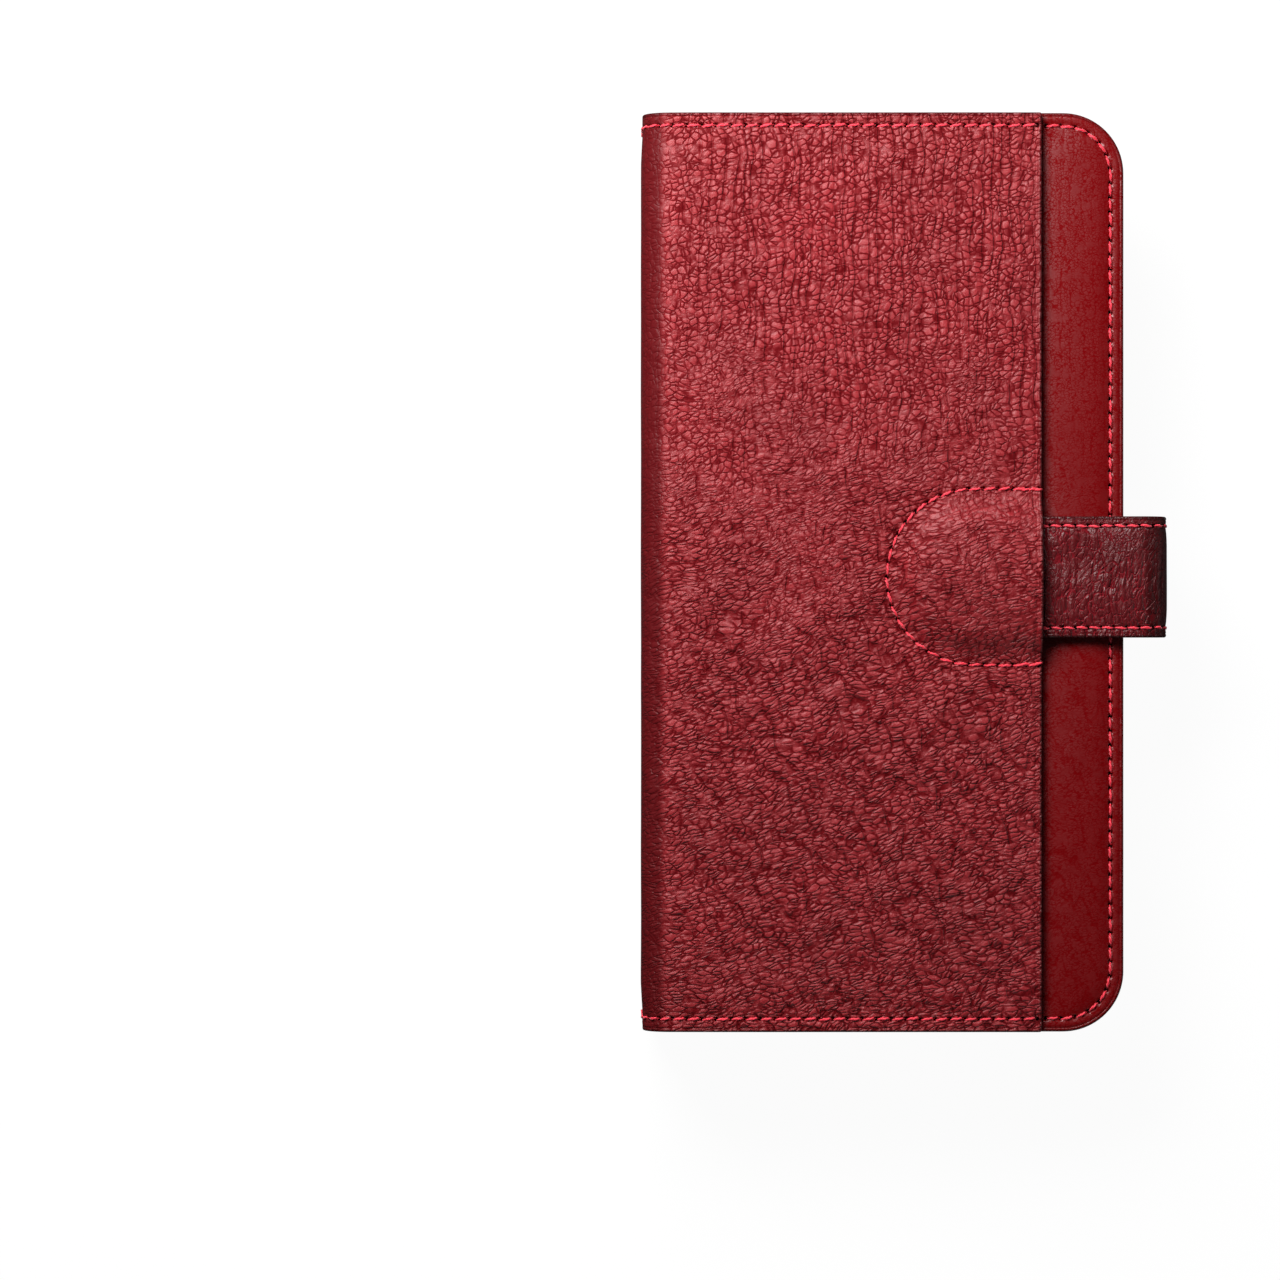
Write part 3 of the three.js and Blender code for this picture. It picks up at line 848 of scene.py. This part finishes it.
def strip_rise(s, t, inset):
    """The strip dips beside the panel and swells inside its seam."""
    beyond = s - strip_from
    dip = -0.6 * np.exp(-np.clip(beyond, 0, None) / 2.6) * smooth(beyond, -1.5, 0.0)
    crown = 0.35 * smooth(beyond, 0, 9) * smooth(inset, 2.5, 6.0)
    ridge = 0.07 * bell(inset - 1.6, 0.5)
    return dip * smooth(inset, 1.0, 5.0) + crown + ridge + 0.05 * ripple(s, t, 26, 11)


strip_sheet = Sheet(
    "front_strip_skin", strip_track, strip_outline, cover_thickness(STRIP_RIM), strip_rise,
    seams=[strip_seam], channel=beside(SEAM), hide=cut_from(300),
    dense=[(strip_from - 2, strip_track.length, -HALF, HALF, 1.2, 2.0)],
)
stand_in(strip_sheet.build(SMOOTH), "smooth_leather", "front_base_leather", body="front_cover")


# ---- linings

CREASE = 1.2  # the lining's bend in the corner of the spine
MARGIN = 0.2  # the linings end this far inside the outer leather


def lining_sheet(name, down, run, end, seed):
    """A cover's lining, from mid-spine: `down` is 1 for the back's and -1 for the front's."""
    half = back_lining_high[1]
    bend = (quarter(CREASE), 90 * down)
    track = Track(SPINE_INNER, MID_Z, -90 * down, down, (run, 0), bend, (end - SPINE_INNER - CREASE, 0))
    corner = CORNER - MARGIN
    outline = Outline(0, track.length, -half, half, (corner, corner, 0.6, 0.6), open_left=True)
    seam = even_steps(seam_path(outline, SEAM - MARGIN, 0.0), STITCH)
    bend_grid = (lining_run - 2, lining_run + 6, -half, half, 0.6, 3.0)
    return Sheet(
        name, track, outline, LINING, lambda s, t, inset: 0.04 * ripple(s, t, 25, seed), seams=[seam],
        channel=beside(SEAM - MARGIN), groove=0.12, dense=[bend_grid], edge=0.25, grid=4, hide=cut_from(600),
    )


lining_run = MID_Z - back_lining_high[2] - CREASE
front_run = front_lining_low[2] - MID_Z - CREASE
back_lining = lining_sheet("back_lining_skin", 1, lining_run, back_lining_high[0], 21)
front_lining = lining_sheet("front_lining_skin", -1, front_run, front_lining_high[0], 22)
back_lining_skin = stand_in(back_lining.build(INNER), None, "back_lining")
front_lining_skin = stand_in(front_lining.build(INNER), None, "front_lining", "spine_lining")


# ---- strap

STRAP_SEAM = 2.0
STRAP_SKIN = LEATHER + 0.16  # the outer layer's thickness
STRAP_LINING = STRAP_THICK - LEATHER - 0.18
STRAP_RINGS = (0, 0.03, 0.1, 0.2, 0.32, 0.45, 0.6, 0.78, 0.95, 1.3, 2.7)
STRAP_MID = (STRAP_LOW + ROOT_RADIUS + STRAP_TOP - BEND_RADIUS) / 2  # where its two halves meet
root_run = STRAP_OUTER - ROOT_RADIUS - strap_base_low[0]
lower_run = STRAP_MID - STRAP_LOW - ROOT_RADIUS
bend_start = STRAP_TOP - BEND_RADIUS - STRAP_MID
bend_end = bend_start + quarter(BEND_RADIUS)
tip_run = STRAP_OUTER - BEND_RADIUS - tongue_low[0]


def bend_creases(s, t):
    """Creases across the strap at its upper bend, each with a place, a width and a depth."""
    found = np.zeros_like(s)
    creases = ((3.2, 0.16, 0.06), (5.3, 0.16, 0.07), (6.6, 0.18, 0.11), (7.4, 0.14, 0.05), (9.4, 0.2, 0.08))
    for place, width, deep in creases:
        found -= deep * bell(s - bend_start - place - 0.12 * np.sin(t / 2.3 + place), width)
    return found


def strap_bow(s):
    """The strap rises from the sleeve's mouth toward its bend."""
    out = s - bend_end
    return (1.1 - 1.3 * smooth(out, 1.5, 13)) * smooth(s, bend_start, bend_end)


def strap_swell(s, t, inset, seed):
    return 0.16 * smooth(inset, STRAP_SEAM + 0.3, STRAP_SEAM + 4) + 0.03 * ripple(s, t, 14, seed)


# Smoother leather round the strap's bend, with painted shade there.
def bend_burnish(s, t):
    return 0.6 * smooth(s, bend_start - 1, bend_start + 1) * (1 - smooth(s, bend_end - 1, bend_end + 1))


class Beneath:
    """The other face of a sheet that lies on `track` and is `depth` thick."""

    def __init__(self, track, depth):
        self.track, self.depth, self.length = track, depth, track.length

    def place(self, s, t, rise):
        return self.track.place(s, t, -self.depth - rise)


class Backward:
    """A track walked the other way, so that the strap's lower half starts at the cut in the riser."""

    def __init__(self, track):
        self.track, self.length = track, track.length

    def place(self, s, t, rise):
        return self.track.place(self.length - s, t, rise)


upper_track = Track(STRAP_OUTER, STRAP_MID, 90, -1, (bend_start, 0), (quarter(BEND_RADIUS), 90), (tip_run, 0))
lower_track = Backward(
    Track(strap_base_low[0], STRAP_LOW, 0, -1, (root_run, 0), (quarter(ROOT_RADIUS), 90), (lower_run, 0))
)


def strap_half(track, end_radius):
    """What a half's two layers share: their seam, fine grid and rings, and their outline."""
    low_t, high_t = STRAP_Y - STRAP_HALF, STRAP_Y + STRAP_HALF
    outline = Outline(0, track.length, low_t, high_t, (end_radius, end_radius, 0.3, 0.3), open_left=True)
    return outline, {
        "seams": [even_steps(seam_path(outline, STRAP_SEAM, 0.0), FINE_STITCH)],
        "channel": beside(STRAP_SEAM), "rings": STRAP_RINGS,
        "dense": [(0, track.length, low_t, high_t, 0.5, 1.3)],
    }


upper_outline, upper_shared = strap_half(upper_track, STRAP_HALF - 0.01)
lower_outline, lower_shared = strap_half(lower_track, 0.6)
strap_upper = Sheet(
    "strap_tongue_skin", upper_track, upper_outline, STRAP_SKIN,
    lambda s, t, inset: strap_swell(s, t, inset, 31) + bend_creases(s, t) + strap_bow(s),
    hide=cut_from(900), burnish=bend_burnish, **upper_shared,
)
strap_lower = Sheet(
    "strap_riser_skin", lower_track, lower_outline, STRAP_SKIN,
    lambda s, t, inset: strap_swell(s, t, inset, 32), hide=cut_from(900, -1), **lower_shared,
)
upper_lining = Sheet(
    "strap_tongue_lining_skin", Beneath(upper_track, STRAP_THICK), upper_outline, STRAP_LINING,
    lambda s, t, inset: 0.02 * ripple(s, t, 12, 33) - strap_bow(s), hide=cut_from(1200), edge=0.3,
    **upper_shared,
)
lower_lining = Sheet(
    "strap_riser_lining_skin", Beneath(lower_track, STRAP_THICK), lower_outline, STRAP_LINING,
    lambda s, t, inset: 0.02 * ripple(s, t, 12, 34), hide=cut_from(1200, -1), edge=0.3, **lower_shared,
)
upper_skin = stand_in(strap_upper.build(STRAP), "strap_leather", "strap_tongue_outer")
lower_skin = stand_in(strap_lower.build(STRAP), "strap_leather", "strap_base_outer", "strap_riser_outer")
upper_lining_skin = stand_in(upper_lining.build(INNER), "lining_leather", "strap_tongue_lining")
lower_lining_skin = stand_in(
    lower_lining.build(INNER), "lining_leather", "strap_base_lining", "strap_riser_lining",
)


# ---- card slots and bill pocket

SLOT_SEAM = 2.0  # from a slot's side to its stitch line


def pocket_sheet(node, seed, radii, lines=(), edge=0.2):
    """A thin sheet inside the front cover, facing down while the case is closed, sewn along `lines`."""
    low, high = span(node)
    track = Track(low[0], low[2], 0, -1, (high[0] - low[0], 0))

    def rise(s, t, inset):
        pressed = 0.1 * bell(high[1] - t - 1.6, 0.25)
        return -pressed + 0.03 * ripple(s, t, 22, seed)

    return Sheet(
        node + "_skin", track, Outline(0, track.length, low[1], high[1], radii), high[2] - low[2], rise,
        seams=[even_steps(np.array(line), FINE_STITCH) for line in lines], edge=edge, grid=4,
        dense=[(0, track.length, high[1] - 4.2, high[1] - 0.2, 3, 0.35)], hide=cut_from(1500 + 50 * seed),
    )


inner_pieces = []
slot_names = [f"card_slot_{number}" for number in range(1, 7)]
mouths = [span(name)[1][1] for name in slot_names]
for index, name in enumerate(slot_names):
    low, high = span(name)
    left, right, top = SLOT_SEAM, high[0] - low[0] - SLOT_SEAM, high[1] - 1.2
    last = index == len(slot_names) - 1
    down = low[1] + SLOT_SEAM if last else mouths[index + 1] + 0.8
    lines = [[(left, top), (left, down)], [(right, top), (right, down)]]
    if last:
        lines.append([(left, down), (right, down)])
    inner_pieces.append((pocket_sheet(name, index, (0.6, 2.0, 2.0, 0.6), lines), name, "front_cover"))
bill_pocket = pocket_sheet("bill_pocket_panel", 8, (9.5, 9.5, 0.6, 0.6), edge=0.25)
inner_pieces.append((bill_pocket, "bill_pocket_panel", "front_cover"))


# ---- phone pouch

pouch_low, pouch_high = span("phone_pouch_panel")
wall_low, wall_high = span("phone_pouch_gusset")
POUCH_CORNER = 6.0
POUCH_RADII = (POUCH_CORNER, 0.6, 0.6, POUCH_CORNER)
POUCH_SEAM = 2.4
NOTCH = 9.0  # the thumb notch's radius
NOTCH_RIM = 0.8  # width of the notch's edge
pouch_middle = (pouch_high[0] - pouch_low[0]) / 2
pouch_mouth = pouch_high[1]


class NotchedOutline(Outline):
    """The pouch's front, with a thumb notch in the middle of its mouth."""

    def inset(self, s, t):
        notch = np.hypot(s - pouch_middle, t - self.t1) - NOTCH
        return np.minimum(super().inset(s, t), notch)


def notch_line(beyond):
    """The part of an arc round the notch that lies under the mouth."""
    turn = np.linspace(math.pi, 2 * math.pi, 41)
    r = NOTCH + beyond
    arc = np.stack([pouch_middle + r * np.cos(turn), pouch_mouth + r * np.sin(turn)], axis=1)
    return arc[arc[:, 1] < pouch_mouth - 0.02]


pouch_track = Track(pouch_low[0], pouch_high[2], 0, 1, (pouch_high[0] - pouch_low[0], 0))
pouch_outline = NotchedOutline(0, pouch_track.length, pouch_low[1], pouch_mouth, POUCH_RADII)
tall_ring = Outline(0, pouch_track.length, pouch_low[1], pouch_mouth + 30, POUCH_RADII).ring(POUCH_SEAM, 0.5)
around = tall_ring[tall_ring[:, 1] < pouch_mouth - 2]
first = np.argmax(np.hypot(*np.diff(around, axis=0).T)) + 1
pouch_panel = Sheet(
    "phone_pouch_panel_skin", pouch_track, pouch_outline, pouch_high[2] - pouch_low[2],
    lambda s, t, inset: 0.05 * ripple(s, t, 30, 41), hide=cut_from(2100), edge=0.35, grid=4,
    seams=[even_steps(np.roll(around, -first, axis=0), STITCH)],
    lines=[notch_line(r) for r in (0.01, 0.08, 0.2, 0.35, 0.6, 0.8, 1.0, 1.6)],
    dense=[(pouch_middle - 13, pouch_middle + 13, pouch_mouth - 13, pouch_mouth - 1, 1.2, 1.2)],
    cut=lambda s, t: pouch_outline.inset(s, t) < 0,
    keep_clear=[lambda s, t: abs(np.hypot(s - pouch_middle, t - pouch_mouth) - NOTCH - NOTCH_RIM) < 1.0],
)
inner_pieces.append((pouch_panel, "phone_pouch_panel", "back_cover"))


def gusset_path():
    """Points round three sides of the pouch with their directions outward, from the mouth to the mouth."""
    r, y1 = POUCH_CORNER, wall_high[1]
    x0, x1, y0 = wall_low[0], wall_high[0], wall_low[1]

    def corner(x, y, start, end):
        turn = np.linspace(start, end, 12)[1:]
        return [(x + r * math.cos(a), y + r * math.sin(a), math.cos(a), math.sin(a)) for a in turn]

    return [
        *((x0, y, -1, 0) for y in np.linspace(y1, y0 + r, 60)),
        *corner(x0 + r, y0 + r, math.pi, 1.5 * math.pi),
        *((x, y0, 0, -1) for x in np.linspace(x0 + r, x1 - r, 30)[1:]),
        *corner(x1 - r, y0 + r, -0.5 * math.pi, 0),
        *((x1, y, 1, 0) for y in np.linspace(y0 + r, y1, 60)[1:]),
    ]


def gusset():
    """The pouch's side wall: a strip of leather round three sides, folded inward at half its height."""
    base, top, wide = wall_low[2], wall_high[2], 1.5
    profile = []
    for z in np.linspace(base, top, 25):
        tuck = 0.55 * bell(z - (base + top) / 2, 1.1)
        profile.append((-tuck - float(edge_round(min(z - base, top - z), 0.4)), z))
    profile += [
        (-wide - out if out > -0.3 else -wide + 0.1 + 0.4 * (out + 0.3), z) for out, z in reversed(profile)
    ]
    points, marks, hide, faces = [], [], [], []
    path, run = gusset_path(), 0.0
    before = path[0]
    for x, y, nx, ny in path:
        run += math.hypot(x - before[0], y - before[1])
        before = (x, y)
        for out, z in profile:
            points.append((x + nx * out, y + ny * out, z))
            marks.append((0, math.exp(-min(z - base, top - z) / 0.4), 0))
            hide.append((run + 2400, z - out, 0))
    n = len(profile)
    for i in range(len(path) - 1):
        for j in range(n):
            k = (j + 1) % n
            faces.append((i * n + j, (i + 1) * n + j, (i + 1) * n + k, i * n + k))
    faces.append(tuple(range(n)))
    faces.append(tuple((len(path) - 1) * n + j for j in reversed(range(n))))
    attributes = [("hide", hide), ("marks", marks)]
    return mesh_object("phone_pouch_gusset_skin", np.array(points), faces, INNER, attributes)


inside = {"sides": 6, "steps": 8}  # plainer thread where the case is closed over it
stand_in(gusset(), "lining_leather", "phone_pouch_gusset", body="back_cover")
for sheet, node, body in inner_pieces:
    stand_in(sheet.build(INNER), "lining_leather", node, body=body)
    if sheet.seams:
        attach(stitches(node + "_stitching", sheet, **inside), body)


# ---- stitches on covers and strap

sleeve_ends = [sleeve_seam[:3] + (0.9, 0.2), sleeve_seam[-3:] + (0.9, -0.2)]
back_stitches = stitches("back_stitching", back_sheet)
front_stitches = stitches("front_stitching", front_sheet, again=sleeve_ends)
strip_stitches = stitches("front_strip_stitching", strip_sheet)
tongue_stitches = stitches("strap_tongue_stitching", strap_upper)
riser_stitches = stitches("strap_riser_stitching", strap_lower)
tongue_lining_stitches = stitches("strap_tongue_lining_stitching", upper_lining, **inside)
riser_lining_stitches = stitches("strap_riser_lining_stitching", lower_lining, **inside)
back_lining_stitches = stitches("back_lining_stitching", back_lining, **inside)
front_lining_stitches = stitches("front_lining_stitching", front_lining, **inside)
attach(strip_stitches, "front_cover")


# ---- pieces of the covers and strap, their transforms baked into their meshes

def at(x, z):
    return (x * MM, 0.0, z * MM)


for piece in (back_skin, back_lining_skin, back_stitches, back_lining_stitches):
    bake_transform(piece)
for piece in (front_skin, front_lining_skin, front_stitches, front_lining_stitches):
    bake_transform(piece)
for piece in (lower_skin, lower_lining_skin, riser_stitches, riser_lining_stitches):
    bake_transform(piece)
for piece in (upper_skin, upper_lining_skin, tongue_stitches, tongue_lining_stitches):
    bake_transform(piece)


# ---- carried-over CAD nodes

for name in ("back_board", "spine_board", "front_board"):
    node = frame["nodes"][name]
    node.data.materials.clear()
    node.data.materials.append(BOARD)


# ---- stage, light and camera

def stage():
    size, level = 4000, -0.5  # just clear of the stitches under the case
    corners = [(-size, -size, level), (size, -size, level), (size, size, level), (-size, size, level)]
    mesh_object("floor", corners, [(0, 1, 2, 3)], FLOOR)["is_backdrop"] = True


def softbox(name, place, aim, size, watts):
    data = bpy.data.lights.new(name, "AREA")
    data.shape, data.size, data.size_y, data.energy = "RECTANGLE", *size, watts
    lamp = placed(name, data)
    lamp.location = place
    lamp.rotation_euler = (Vector(aim) - Vector(place)).to_track_quat("-Z", "Y").to_euler()


def world(strength):
    """Even light, and a white backdrop wherever the camera sees past the floor."""
    made = bpy.data.worlds.new("studio")
    made.use_nodes = True
    tree = made.node_tree
    back = tree.nodes["Background"]
    back.inputs["Color"].default_value = (1, 1, 1, 1)
    seen = tree.nodes.new("ShaderNodeLightPath").outputs["Is Camera Ray"]
    level = tree.nodes.new("ShaderNodeMapRange")
    level.inputs["To Min"].default_value = strength
    level.inputs["To Max"].default_value = 1.0
    tree.links.new(seen, level.inputs["Value"])
    tree.links.new(level.outputs["Result"], back.inputs["Strength"])
    bpy.context.scene.world = made


def camera():
    """Square over the front cover, which stands right of the picture's middle."""
    data = bpy.data.cameras.new("camera")
    data.sensor_width, data.lens = 36.0, 135.8
    data.clip_start, data.clip_end = 0.05, 20
    made = placed("camera", data)
    made.location = (-0.0545, -0.0140, 1.025)
    bpy.context.scene.camera = made


stage()
world(0.04)
softbox("key", (-0.16, 0.29, 0.3), (-0.02, 0.07, 0.02), (0.3, 0.22), 3.8)
softbox("right", (0.9, 0.1, 0.13), (0, 0, 0.014), (0.9, 0.22), 1.0)
softbox("near", (0.1, -0.9, 0.13), (0, 0, 0.014), (0.9, 0.22), 0.9)
softbox("under", (0.1, -0.2, -0.8), (0, 0, 0), (0.7, 0.7), 3.0)
camera()
bpy.context.scene.view_settings.view_transform = "Standard"

low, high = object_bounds()
